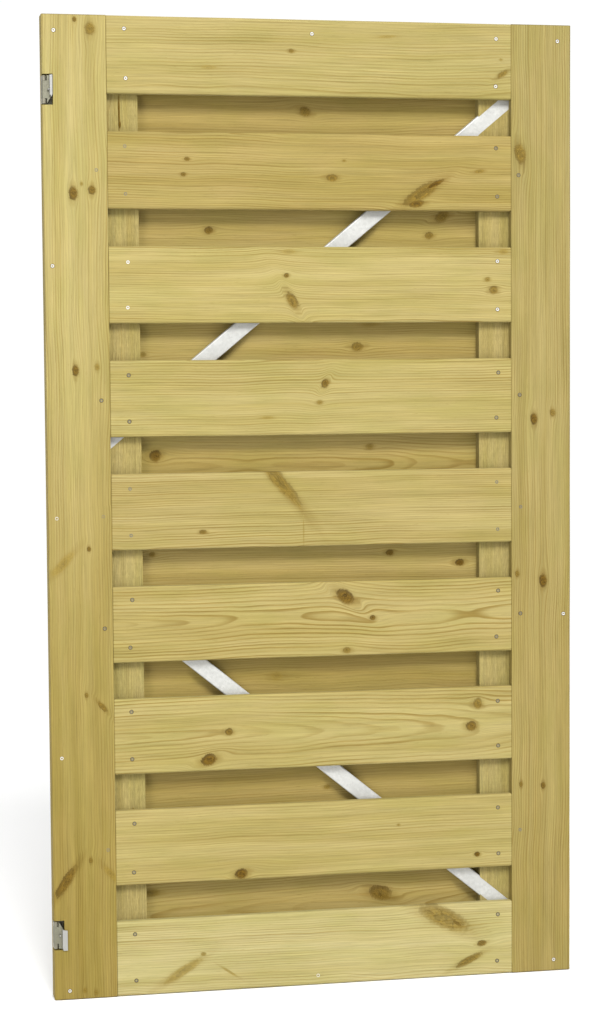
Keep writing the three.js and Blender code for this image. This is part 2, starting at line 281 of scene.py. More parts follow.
FUZZ_RUN, FUZZ_DETAIL, FUZZ_RANGE, FUZZ_SHARE = (0.07, 0.4), (4.0, 0.75), (0.22, 0.78), 0.75
BLADE_RUN, BLADE_SHARE = (0.3, 0.03), 0.25
SAWN_CONTRAST = 0.5

KNOT_WOBBLE, STAIN_WOBBLE = 0.42, 0.9
FRAY_RUN, FRAY, FRAY_CONTRAST, FRAY_PLACE = (8.0, 1.7), 0.7, 1.3, 3.0
STAIN_RUN, STAIN_RANGE, STAIN_SHARE = 0.7, (0.35, 1.65), 0.85
CORE_RANGE = (0.55, 1.15)
DARK_SIDE, DARK_SIDE_RANGE = (-0.5, 0.85), (-0.9, 0.8)
RIM_INSIDE, RIM_OUTSIDE, RIM_STRENGTH = (0.5, 0.86), (0.9, 1.15), (0.75, 0.2)
SWIRL_RINGS, SWIRL_WOBBLE, SWIRL_CONTRAST = 17.0, 9.0, 0.14
CRACK_NOISE, CRACK_WIDTH, CRACK_REACH = (1.1, 2.0, 0.5, 1.2), (0.006, 0.03), (0.5, 0.9)
DEEP_KNOT = (0.45, 0.95)  # knot strengths from a pale knot to a dark one
HEART_SHADE = (0.0, 0.9, 0.72, 1.12)
DARK_SHARE = 0.8
STAIN_TINT = (0.66, 0.56, 0.36, 1.0)
HEART_PALE = (0.185, 0.126, 0.018, 1.0)
HEART_DEEP = (0.1, 0.054, 0.004, 1.0)
RESIN = (0.036, 0.02, 0.003, 1.0)

EDGE_RANGE, WORN_RUN, WORN_RANGE, WORN_SHARE = (0.4, 3.2), 0.03, (0.35, 0.6), 0.35
END_RANGE = (0.6, 1.6)
WORN_TINT = (1.16, 1.13, 1.05, 1.0)
END_TINT = (0.62, 0.58, 0.46, 1.0)

PINE_ROUGH, ROUGH_FIBRE, ROUGH_LATE, ROUGH_SAWN = 0.56, 0.18, 0.12, 0.2
HIGH_LATE, HIGH_FIBRE, HIGH_SAWN, DEEP_DARK, HIGH_SWIRL = 0.35, 0.25, 0.8, 0.7, 0.1
PINE_SPECULAR = 0.08
PINE_BUMP = (0.55, 0.0006)


def knot_group():
    """Bends the grain round one knot, and keeps the nearest knot's own coordinates and strength."""
    names = [("Place", "v"), ("Nearest", "v"), ("Strength", "f"), ("Bend", "f")]
    own = [("Centre", "v"), ("Size", "v"), ("Tilt", "f"), ("Own", "f")]
    g, i, o = new_group("wood_knot", names + own, names[1:])
    away = g.vec("SUBTRACT", i["Place"], i["Centre"])
    turned = g.node("ShaderNodeVectorRotate", rotation_type="Z_AXIS")
    g.feed(turned.inputs["Vector"], away)
    g.feed(turned.inputs["Angle"], i["Tilt"])
    local = g.vec("MULTIPLY", turned.outputs[0], i["Size"])
    q = g.split(local)
    distance = g.vec("LENGTH", local, out="Value")
    closer = g.math("LESS_THAN", distance, g.split(i["Nearest"])[2])
    g.feed(o["Nearest"], g.mix_vec(closer, i["Nearest"], g.join(q[0], q[1], distance)))
    g.feed(o["Strength"], g.mix_value(closer, i["Strength"], i["Own"]))
    reach = g.vec("MULTIPLY", local, BEND_REACH)
    square = g.vec("DOT_PRODUCT", reach, reach, out="Value")
    size = g.split(i["Size"])
    roundness = g.step(g.math("DIVIDE", size[0], size[1]), *ROUND_KNOT)
    push = g.mul(g.mul(g.split(away)[1], i["Own"]), roundness)
    g.feed(o["Bend"], g.sub(i["Bend"], g.math("DIVIDE", push, g.math("MAXIMUM", square, 1.0))))
    return g.tree


def late_wood(g, i):
    """How dark a tilted, wandering trunk's rings are, and the distance across from its middle."""
    u, v, w = g.split(i["Place"])[:3]
    seed = i["Seed"]
    along = g.join(g.mul(u, RING_WANDER_RUN), seed, 0.0)
    slow = g.signed(along, 1.0, 1.0)
    slower = g.signed(g.vec("ADD", along, DEPTH_WANDER_AT), DEPTH_WANDER_SCALE, 1.0)
    ripple = g.noise(g.run(u, v, seed, RIPPLE_RUN), 1.0, 2.0)
    across = g.sub(g.add(v, i["Bend"]), i["Pith across"])
    across = g.add(across, g.mul(slow, RING_WANDER))
    lean = g.mul(g.math("MINIMUM", u, i["Straight from"]), i["Taper"])
    depth = g.add(g.add(w, i["Pith depth"]), lean)
    depth = g.add(depth, g.mul(slower, DEPTH_WANDER))
    radius = g.math("SQRT", g.add(g.mul(across, across), g.mul(depth, depth)))
    turns = g.add(g.math("DIVIDE", radius, i["Spacing"]), g.mul(ripple, RIPPLE))
    uneven = g.noise(g.join(g.mul(turns, YEARS_RUN), seed, YEARS_PLACE), 1.0, 1.0)
    turns = g.add(turns, g.mul(uneven, YEARS_UNEVEN))
    phase = g.math("FRACT", turns)
    late = g.mul(g.step(phase, *LATE_WOOD), g.fade(phase, *RING_END))
    ring = g.node("ShaderNodeTexWhiteNoise", noise_dimensions="2D")
    g.feed(ring.inputs["Vector"], g.join(g.math("FLOOR", turns), seed, 0.0))
    late = g.mul(late, g.add(g.mul(ring.outputs["Value"], RING_STRENGTH[0]), RING_STRENGTH[1]))
    patch = g.noise(g.run(u, v, g.add(seed, PATCH_PLACE), PATCH_RUN))
    late = g.mul(late, g.step(patch, *PATCH_RANGE))
    return g.mul(late, i["Contrast"]), across


def planed_color(g, i, late, across, fibre):
    """The tone that runs from a board's one end to its other, with bands, clouds, rings, streaks and
    flecks; on the left cover that run is painted sheen, bright at the top.
    """
    u, v, w = g.split(i["Place"])[:3]
    seed = i["Seed"]
    bent = g.add(v, i["Bend"])
    streak = g.noise(g.run(u, bent, seed, STREAK_RUN), 1.0, *STREAK_DETAIL)
    fleck_place = g.join(g.mul(u, FLECK_ALONG), g.mul(v, FLECK_ACROSS), g.mul(w, FLECK_ACROSS))
    fleck = g.step(g.noise(fleck_place, 1.0, 1.0), *FLECK_RANGE)
    band = g.noise(g.run(u, across, seed, BAND_RUN), 1.0, 3.0)
    cloud = g.noise(g.run(u, v, g.add(seed, CLOUD_PLACE), CLOUD_RUN))
    rise = g.step(u, g.mul(i["Half length"], -1.0), i["Half length"])
    color = g.mix(rise, i["Tone down"], i["Tone up"])
    pale = g.mix(1.0, color, PALE_BAND, "MULTIPLY")
    warm = g.mix(1.0, color, WARM_BAND, "MULTIPLY")
    color = g.mix(g.step(band, *BAND_RANGE), pale, warm)
    color = g.stain(g.step(cloud, *CLOUD_RANGE), color, GREEN_CLOUD)
    color = g.stain(late, color, LATE_TINT)
    tint = g.add(g.mul(fibre, FIBRE_SHARE), g.mul(streak, STREAK_SHARE))
    color = g.scale(color, g.add(tint, TINT_BASE))
    return g.stain(g.mul(fleck, FLECK_SHARE), color, FLECK_TINT)


def saw_marks(g, i):
    """Raised fuzz along the grain and faint blade marks across it."""
    u, v, w = g.split(i["Place"])[:3]
    seed = i["Seed"]
    fuzz = g.noise(g.run(u, v, g.add(w, seed), FUZZ_RUN), 1.0, *FUZZ_DETAIL)
    fuzz = g.step(fuzz, *FUZZ_RANGE)
    blade = g.noise(g.run(u, v, seed, BLADE_RUN), 1.0, 1.0)
    return g.mul(g.add(g.mul(fuzz, FUZZ_SHARE), g.mul(blade, BLADE_SHARE)), i["Sawn"])


def knot_color(g, i, color):
    """A knot: a stain, a frayed brown heart with rings, a dark rim on one side and cracks.

    Returns the colour, how dark the rim and cracks are, and the height of the heart's rings.
    """
    qx, qy, d0 = g.split(i["Nearest"])[:3]
    flat_q = g.join(qx, qy, i["Seed"])
    wobble = g.signed(flat_q, 1.0, 3.0, 0.6)
    fray = g.signed(g.run(qx, qy, g.add(i["Seed"], FRAY_PLACE), FRAY_RUN), 1.0, 3.0, 0.65)
    d = g.add(g.add(d0, g.mul(wobble, KNOT_WOBBLE)), g.mul(fray, FRAY))
    stain_place = g.join(g.mul(qx, STAIN_RUN), qy, 0.0)
    stain_distance = g.add(g.vec("LENGTH", stain_place, out="Value"), g.mul(wobble, STAIN_WOBBLE))
    stain = g.fade(stain_distance, *STAIN_RANGE)
    core = g.fade(d, *CORE_RANGE)
    side = g.add(g.mul(qx, DARK_SIDE[0]), g.mul(qy, DARK_SIDE[1]))
    side = g.step(side, *DARK_SIDE_RANGE)
    rim = g.mul(g.step(d, *RIM_INSIDE), g.fade(d, *RIM_OUTSIDE))
    rim = g.mul(rim, g.add(g.mul(side, RIM_STRENGTH[0]), RIM_STRENGTH[1]))
    swirl = g.math("SINE", g.add(g.mul(d, SWIRL_RINGS), g.mul(wobble, SWIRL_WOBBLE)))
    split_line = g.math("ABSOLUTE", g.signed(flat_q, *CRACK_NOISE))
    crack = g.mul(g.fade(split_line, *CRACK_WIDTH), g.fade(d, *CRACK_REACH))
    strength = i["Strength"]
    deep = g.step(strength, *DEEP_KNOT)
    heart = g.mix(deep, HEART_PALE, HEART_DEEP)
    heart = g.scale(heart, g.step(d, *HEART_SHADE))
    heart = g.vary(heart, swirl, SWIRL_CONTRAST)
    heart = g.vary(heart, fray, FRAY_CONTRAST)
    color = g.stain(g.mul(stain, g.mul(strength, STAIN_SHARE)), color, STAIN_TINT)
    color = g.mix(g.mul(core, strength), color, heart)
    dark = g.add(g.mul(rim, DARK_SHARE), g.mul(crack, DARK_SHARE))
    dark = g.mul(dark, deep, clamp=True)
    return g.mix(dark, color, RESIN), dark, g.mul(swirl, core)


def worn_color(g, i, color):
    """Worn long edges, and end grain that has drunk the treatment."""
    u, v = g.split(i["Place"])[:2]
    edge = g.fade(g.sub(i["Half width"], g.math("ABSOLUTE", v)), *EDGE_RANGE)
    wear = g.noise(g.join(g.mul(u, WORN_RUN), v, i["Seed"]))
    worn = g.mul(edge, g.step(wear, *WORN_RANGE))
    color = g.stain(g.mul(worn, WORN_SHARE), color, WORN_TINT)
    end = g.fade(g.sub(i["Half length"], g.math("ABSOLUTE", u)), *END_RANGE)
    return g.stain(end, color, END_TINT)


def pine_group():
    """Pine cut from a tilted, wandering trunk, with knots: gives colour, roughness and height."""
    inputs = [("Place", "v"), ("Nearest", "v"), ("Strength", "f"), ("Bend", "f"), ("Seed", "f")]
    inputs += [("Tone up", "c"), ("Tone down", "c"), ("Pith across", "f"), ("Pith depth", "f")]
    inputs += [("Taper", "f"), ("Spacing", "f"), ("Contrast", "f"), ("Straight from", "f")]
    inputs += [("Half width", "f"), ("Half length", "f"), ("Sawn", "f")]
    g, i, o = new_group("pine", inputs, [("Color", "c"), ("Roughness", "f"), ("Height", "f")])
    u, v, w = g.split(i["Place"])[:3]
    late, across = late_wood(g, i)
    fibre = g.noise(g.run(u, g.add(v, i["Bend"]), w, FIBRE_RUN), 1.0, *FIBRE_DETAIL)
    color = planed_color(g, i, late, across, fibre)
    saw = saw_marks(g, i)
    color = g.vary(color, g.sub(saw, g.mul(i["Sawn"], 0.5)), SAWN_CONTRAST)
    color, dark, heart_rings = knot_color(g, i, color)
    g.feed(o["Color"], worn_color(g, i, color))

    roughness = g.add(PINE_ROUGH, g.mul(fibre, ROUGH_FIBRE))
    roughness = g.sub(roughness, g.mul(late, ROUGH_LATE))
    g.feed(o["Roughness"], g.add(roughness, g.mul(i["Sawn"], ROUGH_SAWN), clamp=True))
    height = g.add(g.mul(late, HIGH_LATE), g.mul(fibre, HIGH_FIBRE))
    height = g.add(height, g.mul(saw, HIGH_SAWN))
    height = g.sub(height, g.mul(dark, DEEP_DARK))
    g.feed(o["Height"], g.add(height, g.mul(heart_rings, HIGH_SWIRL)))
    return g.tree


KNOT_TREE = knot_group()
PINE_TREE = pine_group()


# Materials


def srgb(r, g, b):
    """A colour given as eight-bit sRGB, as linear RGBA."""
    def linear(c):
        c /= 255.0
        return c / 12.92 if c <= 0.04045 else ((c + 0.055) / 1.055) ** 2.4
    return (linear(r), linear(g), linear(b), 1.0)


def new_material(name):
    """A material with an empty Principled shader; returns it, its graph and the shader node."""
    material = bpy.data.materials.new(name)
    material.use_nodes = True
    material.node_tree.nodes.clear()
    graph = Graph(material.node_tree)
    shader = graph.node("ShaderNodeBsdfPrincipled")
    output = graph.node("ShaderNodeOutputMaterial")
    graph.tree.links.new(shader.outputs[0], output.inputs[0])
    return material, graph, shader


def own_place(graph):
    return graph.node("ShaderNodeTexCoord").outputs["Object"]


def add_bump(graph, shader, height, strength, distance):
    bump = graph.node("ShaderNodeBump")
    bump.inputs["Strength"].default_value = strength
    bump.inputs["Distance"].default_value = distance
    graph.feed(bump.inputs["Height"], height)
    graph.feed(shader.inputs["Normal"], bump.outputs[0])


def pine_material(name, look, size, knots=(), sawn=0.0, standing=None, seed=None):
    """One board's pine.

    look: tone up, tone down, pith across, pith depth, taper, ring spacing, contrast, and, for a board
    whose rings lean less beyond some place, how far along that is.
    knots: (along, across, radius, stretch, tilt in degrees, strength), from the board's middle.
    standing: the middle of an upright CAD piece whose own coordinates are the gate's.
    """
    material, g, shader = new_material(name)
    place = own_place(g)
    if standing is not None:
        x, y, z = g.split(g.vec("SUBTRACT", place, tuple(standing)))[:3]
        place = g.join(z, y, g.mul(x, -1.0))
    u, w, v = g.split(g.scale(place, 1.0 / MM))[:3]
    flat = g.join(u, v, 0.0)
    nearest, strength, bend = (0.0, 0.0, NO_KNOT), 0.0, 0.0
    for along, across, radius, stretch, tilt, own in knots:
        knot = g.node("ShaderNodeGroup", node_tree=KNOT_TREE)
        values = {"Place": flat, "Nearest": nearest, "Strength": strength, "Bend": bend}
        values["Centre"] = (along, across, 0.0)
        values["Size"] = (1.0 / (radius * stretch), 1.0 / radius, 0.0)
        values["Tilt"] = -math.radians(tilt)
        values["Own"] = own
        for label, value in values.items():
            g.feed(knot.inputs[label], value)
        nearest, strength, bend = (knot.outputs[label] for label in ("Nearest", "Strength", "Bend"))
    pine = g.node("ShaderNodeGroup", node_tree=PINE_TREE)
    values = {"Straight from": HEIGHT}
    labels = ("Tone up", "Tone down", "Pith across", "Pith depth", "Taper", "Spacing", "Contrast")
    values.update(zip(labels + ("Straight from",), look))
    values.update({"Place": g.join(u, v, w), "Nearest": nearest, "Strength": strength, "Bend": bend})
    values["Seed"] = rng.uniform(0, 60) if seed is None else seed
    values.update({"Half width": size[1] / 2, "Half length": size[0] / 2, "Sawn": sawn})
    for label, value in values.items():
        g.feed(pine.inputs[label], value)
    g.feed(shader.inputs["Base Color"], pine.outputs["Color"])
    g.feed(shader.inputs["Roughness"], pine.outputs["Roughness"])
    shader.inputs["Specular IOR Level"].default_value = PINE_SPECULAR
    add_bump(g, shader, pine.outputs["Height"], *PINE_BUMP)
    return material


CRYSTAL_WARP = (0.2, 2.0, 2.5)  # scale and detail of the noise that bends the crystals, and its reach
SPECK_NOISE, SPECK_RANGE, SPECK_SHARE = (1.1, 3.0, 0.7), (0.6, 0.72), 0.3
GRIT_RUN, GRIT_NOISE, GRIT_RANGE, GRIT_SHARE = (0.45, 0.45, 0.45), (1.0, 2.0, 0.8), (0.6, 0.68), 0.55
RUNS_NOISE, RUNS_RANGE = (0.022, 3.0), (0.45, 0.75, 0.0, 0.45)
# How strong the painted highlight on what stands proud is, over the runs' noise
PROUD_HIGHLIGHT_RANGE = (0.2, 0.5, 0.6, 1.0)
PALE_CRYSTAL, DULL_CRYSTAL, EVEN_SHARE = 1.08, 0.68, 0.65
ZINC_ROUGH_CRYSTAL, ZINC_ROUGH_SPECK = 0.1, 0.12
ZINC_SKIN, ZINC_SKIN_SHARE, ZINC_CRYSTAL_SHARE = (0.5, 3.0), 0.7, 0.3
ZINC_BUMP = (0.35, 0.0003)


def zinc_material(name, color, metallic, rough, spangle, proud_highlight=None):
    """Zinc with crystals, fine specks and dull runs; proud_highlight is the colour of a painted
    highlight on what stands proud.
    """
    material, g, shader = new_material(name)
    place = g.scale(own_place(g), 1.0 / MM)
    cells = g.node("ShaderNodeTexVoronoi", feature="F1")
    warp = g.scale(g.noise(place, *CRYSTAL_WARP[:2]), CRYSTAL_WARP[2])
    g.feed(cells.inputs["Vector"], g.vec("ADD", place, warp))
    cells.inputs["Scale"].default_value = spangle
    tone = g.node("ShaderNodeSeparateColor")
    g.feed(tone.inputs[0], cells.outputs["Color"])
    speck = g.step(g.noise(place, *SPECK_NOISE), *SPECK_RANGE)
    grit = g.step(g.noise(g.vec("MULTIPLY", place, GRIT_RUN), *GRIT_NOISE), *GRIT_RANGE)
    cloud = g.noise(place, *RUNS_NOISE)
    pale = tuple(c * PALE_CRYSTAL for c in color[:3]) + (1.0,)
    dull = tuple(c * DULL_CRYSTAL for c in color[:3]) + (1.0,)
    base = g.mix(EVEN_SHARE, g.mix(tone.outputs[0], dull, pale), color)
    base = g.mix(g.add(g.mul(speck, SPECK_SHARE), g.mul(grit, GRIT_SHARE)), base, dull)
    base = g.mix(g.step(cloud, *RUNS_RANGE), base, dull)
    # Painted highlight: zinc standing proud of the boards' face is drawn paler, in patches, as though
    # it caught the light
    if proud_highlight is not None:
        proud = g.fade(g.split(place)[1], -HIGHLIGHT_DEPTH - CENTRE_Y, -CENTRE_Y)
        base = g.mix(g.mul(proud, g.step(cloud, *PROUD_HIGHLIGHT_RANGE)), base, proud_highlight)
    g.feed(shader.inputs["Base Color"], base)
    shader.inputs["Metallic"].default_value = metallic
    roughness = g.add(rough, g.mul(tone.outputs[1], ZINC_ROUGH_CRYSTAL))
    g.feed(shader.inputs["Roughness"], g.add(roughness, g.mul(speck, ZINC_ROUGH_SPECK)))
    skin = g.mul(g.noise(place, *ZINC_SKIN), ZINC_SKIN_SHARE)
    add_bump(g, shader, g.add(skin, g.mul(tone.outputs[0], ZINC_CRYSTAL_SHARE)), *ZINC_BUMP)
    return material


def recess_shade_material():
    """The inside of a screw's drive recess, drawn near-black with a faint grain as painted shade."""
    material, g, shader = new_material("drive_recess_shade")
    grain = g.noise(g.scale(own_place(g), 1.0 / MM), 1.5, 2.0)
    recess_shade_dark, metal = (0.03, 0.025, 0.018, 1.0), (0.075, 0.06, 0.04, 1.0)
    g.feed(shader.inputs["Base Color"], g.mix(grain, recess_shade_dark, metal))
    shader.inputs["Roughness"].default_value = 0.7
    add_bump(g, shader, grain, 0.3, 0.0002)
    return material


# Mesh helpers


def make_object(name, mesh_builder, materials, matrix=None):
    """A smooth-shaded mesh object, with area-weighted normals, from a bmesh in millimetres."""
    mesh_builder.transform(Matrix.Scale(MM, 4))
    bmesh.ops.recalc_face_normals(mesh_builder, faces=mesh_builder.faces)
    mesh = bpy.data.meshes.new(name)
    mesh_builder.to_mesh(mesh)
    mesh_builder.free()
    for polygon in mesh.polygons:
        polygon.use_smooth = True
    for material in materials:
        mesh.materials.append(material)
    made = bpy.data.objects.new(name, mesh)
    bpy.context.scene.collection.objects.link(made)
    if matrix is not None:
        made.matrix_world = matrix
    weighted = made.modifiers.new("even_normals", "WEIGHTED_NORMAL")
    weighted.keep_sharp = True
    return made


def stand_in(made, nodes):
    """Rides a piece on the gate leaf, in place of the CAD nodes it draws."""
    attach(made, LEAF)
    if nodes:
        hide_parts(*nodes)


def grid_lines(low, high, step, extra):
    """Even lines from low to high, plus the extra ones, with no even line close to an extra one."""
    count = max(1, round((high - low) / step))
    lines = [low + (high - low) * k / count for k in range(count + 1)]
    kept = [t for t in lines if t in (low, high) or all(abs(t - e) > GRID_CLEARANCE for e in extra)]
    return sorted(set(kept) | set(extra))


def slab(length, width, thickness, eases, notches=(), cup=0.0, seed=0.0):
    """A board along local x, with width along z, thickness along y, rounded edges, a cup and a wave.

    eases: the rounding of the long edge on the +z side, of that on the -z side, and of the sawn ends.
    notches: (centre along, half length, across from) cut from the +z side through the thickness.
    """
    half_l, half_w, half_t = length / 2, width / 2, thickness / 2
    margin = max(eases) + EASE_MARGIN
    along = {-half_l + margin, half_l - margin}
    across = {-half_w + margin, half_w - margin}
    for centre, half, start in notches:
        along |= {centre - half - margin, centre - half, centre + half, centre + half + margin}
        across |= {start, start - margin}
    us = grid_lines(-half_l, half_l, GRID_ALONG, along)
    vs = grid_lines(-half_w, half_w, GRID_ACROSS, across)
    bm = bmesh.new()
    corner = {}

    def vertex(a, b, side):
        key = (a, b, side)
        if key not in corner:
            corner[key] = bm.verts.new((us[a], side * half_t, vs[b]))
        return corner[key]

    def is_open(a, b):
        if not (0 <= a < len(us) - 1 and 0 <= b < len(vs) - 1):
            return True
        u, v = (us[a] + us[a + 1]) / 2, (vs[b] + vs[b + 1]) / 2
        return any(abs(u - centre) < half and v > start for centre, half, start in notches)

    def cell(a, b):
        ring = ((a, b), (a + 1, b), (a + 1, b + 1), (a, b + 1))
        for side in (-1, 1):
            bm.faces.new([vertex(*place, side) for place in ring])
        walls = (
            (ring[0], ring[1], (0, -1)),
            (ring[3], ring[2], (0, 1)),
            (ring[0], ring[3], (-1, 0)),
            (ring[1], ring[2], (1, 0)),
        )
        for p, r, (da, db) in walls:
            if is_open(a + da, b + db):
                bm.faces.new([vertex(*p, -1), vertex(*r, -1), vertex(*r, 1), vertex(*p, 1)])

    for a in range(len(us) - 1):
        for b in range(len(vs) - 1):
            if not is_open(a, b):
                cell(a, b)
    bmesh.ops.recalc_face_normals(bm, faces=bm.faces)
    for level, ease in ((half_w, eases[0]), (-half_w, eases[1])):
        long_edges = [e for e in sharp_edges(bm) if is_long(e, level)]
        round_edges(bm, long_edges, ease, LONG_EASE_STEPS)
    sawn = [e for e in sharp_edges(bm) if is_sawn(e, half_l, notches)]
    round_edges(bm, sawn, eases[2], SAWN_EASE_STEPS)
    cup_and_wave(bm, half_l, half_w, cup, seed)
    return bm


def cup_and_wave(bm, half_l, half_w, cup, seed):
    """Cups a board across and lets it wave along its length, by a few tenths of a millimetre."""
    for vert in bm.verts:
        u, v = vert.co.x, vert.co.z
        rim = (abs(v) / half_w) ** 2
        long_wave, short_wave, side_wave = (
            height * math.sin(u * run + turn * seed) for height, run, turn in WAVES
        )
        wave = long_wave + short_wave
        inside = 1 if abs(u) < half_l else 0
        vert.co.y += cup * (rim - 0.5) + wave * (MIDDLE_WAVE + RIM_WAVE * rim) * inside
        vert.co.z += side_wave * (v / half_w)


def round_edges(bm, edges, radius, segments):
    bmesh.ops.bevel(bm, geom=edges, offset=radius, segments=segments, profile=0.5, affect="EDGES",
                    clamp_overlap=True)


def sharp_edges(bm):
    return [e for e in bm.edges if len(e.link_faces) == 2 and e.calc_face_angle(0) > SHARP_ANGLE]


def is_long(edge, level):
    """True for an edge that runs along a board at one level across it."""
    first, last = edge.verts
    same_depth = abs(first.co.y - last.co.y) < 1e-4
    return same_depth and all(abs(vert.co.z - level) < 1e-4 for vert in edge.verts)


def is_sawn(edge, half_l, notches):
    """True for an edge of a board's end or of a notch."""
    places = [vert.co.x for vert in edge.verts]
    if all(abs(abs(x) - half_l) < 1e-3 for x in places):
        return True
    return any(all(abs(x - centre) < half + 1e-3 for x in places) for centre, half, _ in notches)


HEAD_FRONT = -0.25  # a screw head's face, just proud of the board
# The dark ring round a head is pressed-in wood with painted shade of the gap round the head
HEAD_RADIUS, PRESSED_SHADE_RADIUS = 3.2, 4.0
PRESSED_SHADE_RIM, PRESSED_SHADE_FLOOR = -0.03, -0.06
DRIVE_LOBES, LOBE_DEPTH = 6, 0.14
HEAD_STEPS = 24
# radius, depth and lobing of a head's rings, from its hidden rim to the floor of its drive recess
HEAD_PROFILE = [
    (HEAD_RADIUS, 0.35, 0),
    (HEAD_RADIUS, HEAD_FRONT + 0.15, 0),
    (2.9, HEAD_FRONT, 0),
    (2.1, HEAD_FRONT + 0.05, 0),
    (1.5, HEAD_FRONT + 0.12, LOBE_DEPTH),
    (1.4, HEAD_FRONT + 0.9, LOBE_DEPTH),
]


def screw_head(bm, x, z, turn):
    """One countersunk head in a board: a dished disc, a dark ring of pressed-in wood that also paints
    the shade of the gap round the head, and a star recess.
    """
    def ring(radius, y, lobes=0.0):
        made = []
        for k in range(HEAD_STEPS):
            angle = 2 * math.pi * k / HEAD_STEPS + turn
            r = radius * (1 + lobes * math.cos(DRIVE_LOBES * angle - DRIVE_LOBES * turn))
            made.append(bm.verts.new((x + r * math.cos(angle), y, z + r * math.sin(angle))))
        return made

    def band(outer, inner, material):
        for k in range(HEAD_STEPS):
            n = (k + 1) % HEAD_STEPS
            bm.faces.new([outer[k], outer[n], inner[n], inner[k]]).material_index = material

    # The drive recess's inner walls and floor take the recess material: painted shade
    rings = [ring(*row) for row in HEAD_PROFILE]
    for level, (outer, inner) in enumerate(zip(rings, rings[1:])):
        band(outer, inner, 1 if level >= len(rings) - 2 else 0)
    bm.faces.new(rings[-1]).material_index = 1
    # A thin dark ring laid just over the wood round the head: pressed-in wood and painted shade of the
    # gap
    band(ring(PRESSED_SHADE_RADIUS, PRESSED_SHADE_RIM), ring(HEAD_RADIUS, PRESSED_SHADE_FLOOR), 2)


def screws(name, places, nodes, zinc, front=0.0, facing=1):
    """Heads of a row of screws in one piece; facing is 1 in the front face and -1 in the rear face."""
    bm = bmesh.new()
    for x, z in places:
        screw_head(bm, x, z * facing, rng.uniform(0, 1))
    matrix = Matrix.Translation(row_point(0, front, 0))
    if facing < 0:
        matrix = matrix @ Matrix.Rotation(math.pi, 4, "X")
    made = make_object(name, bm, [zinc, RECESS_SHADE, PRESSED_PINE_AND_SHADE], matrix)
    stand_in(made, nodes)


# Tones and knots, all measured from a board's middle


def tones(r, g, b, r2=None, g2=None, b2=None):
    """Paint for the colour that a board shows at its upper or right end, and at its other end."""
    shown = (srgb(r, g, b), srgb(r2, g2, b2) if r2 is not None else srgb(r, g, b))
    return tuple((*(c / STUDIO_LEVEL for c in color[:3]), 1.0) for color in shown)


# tones, pith across, pith depth, taper, ring spacing, contrast, and where the lean stops growing
FRONT_LOOKS = [
    (*tones(196, 180, 116, 197, 180, 115), -96, 48, 0.010, 5.0, 0.7),
    (*tones(190, 169, 102, 192, 171, 105), 112, 46, -0.02, 4.2, 0.95),
    (*tones(203, 186, 121, 204, 187, 121), -116, 42, 0.015, 3.9, 0.85),
    (*tones(200, 183, 117, 201, 185, 120), 120, 50, 0.012, 4.3, 0.8),
    (*tones(198, 180, 116, 199, 181, 118), -110, 42, -0.012, 4.0, 0.95),
    (*tones(201, 183, 118, 200, 182, 116), 4, 38, 0.083, 6.2, 1.05, -140),
    (*tones(202, 185, 120, 201, 184, 118), -2, 34, 0.06, 6.4, 1.05),
    (*tones(201, 184, 118, 201, 183, 117), 118, 60, 0.012, 4.6, 0.6),
    (*tones(218, 205, 145, 214, 201, 141), -104, 48, 0.016, 4.4, 0.75),
]
REAR_TONE = tones(206, 183, 112, 205, 182, 111)
REAR_DARK = tones(197, 173, 101, 195, 171, 99)
REAR_LOOKS = [
    (*REAR_DARK, 104, 52, 0.016, 4.4, 0.5),
    (*REAR_TONE, -110, 44, -0.02, 4.2, 0.55),
    (*REAR_TONE, 116, 50, 0.014, 4.1, 0.6),
    (*REAR_TONE, -24, 30, 0.03, 4.8, 0.75),
    (*REAR_TONE, 110, 46, -0.018, 4.2, 0.6),
    (*REAR_DARK, -94, 60, 0.014, 4.3, 0.5),
    (*REAR_DARK, 98, 52, 0.02, 4.4, 0.5),
    (*REAR_TONE, -36, 36, -0.026, 4.6, 0.7),
]
# The left cover's tones run from pale at the top to darker at the bottom: painted sheen, bright at the
# top
LEFT_COVER_SHEEN_LOOK = (*tones(206, 190, 126, 177, 155, 83), -110, 40, 0.006, 4.6, 0.65)
RIGHT_COVER_LOOK = (*tones(186, 169, 107, 186, 166, 100), 104, 44, -0.006, 4.2, 0.8)
BATTEN_TONES = tones(192, 174, 111, 190, 173, 110)
LATH_TONES = tones(196, 176, 108)
CORE_TAPER, CORE_SPACING, CORE_CONTRAST = 0.012, 3.0, 0.35
# Dark wood for the ring round a screw head: pressed-in wood with painted shade of the gap
PRESSED_SHADE_LOOK = (*tones(120, 98, 52), 0, 40, 0.0, 3.0, 0.3)

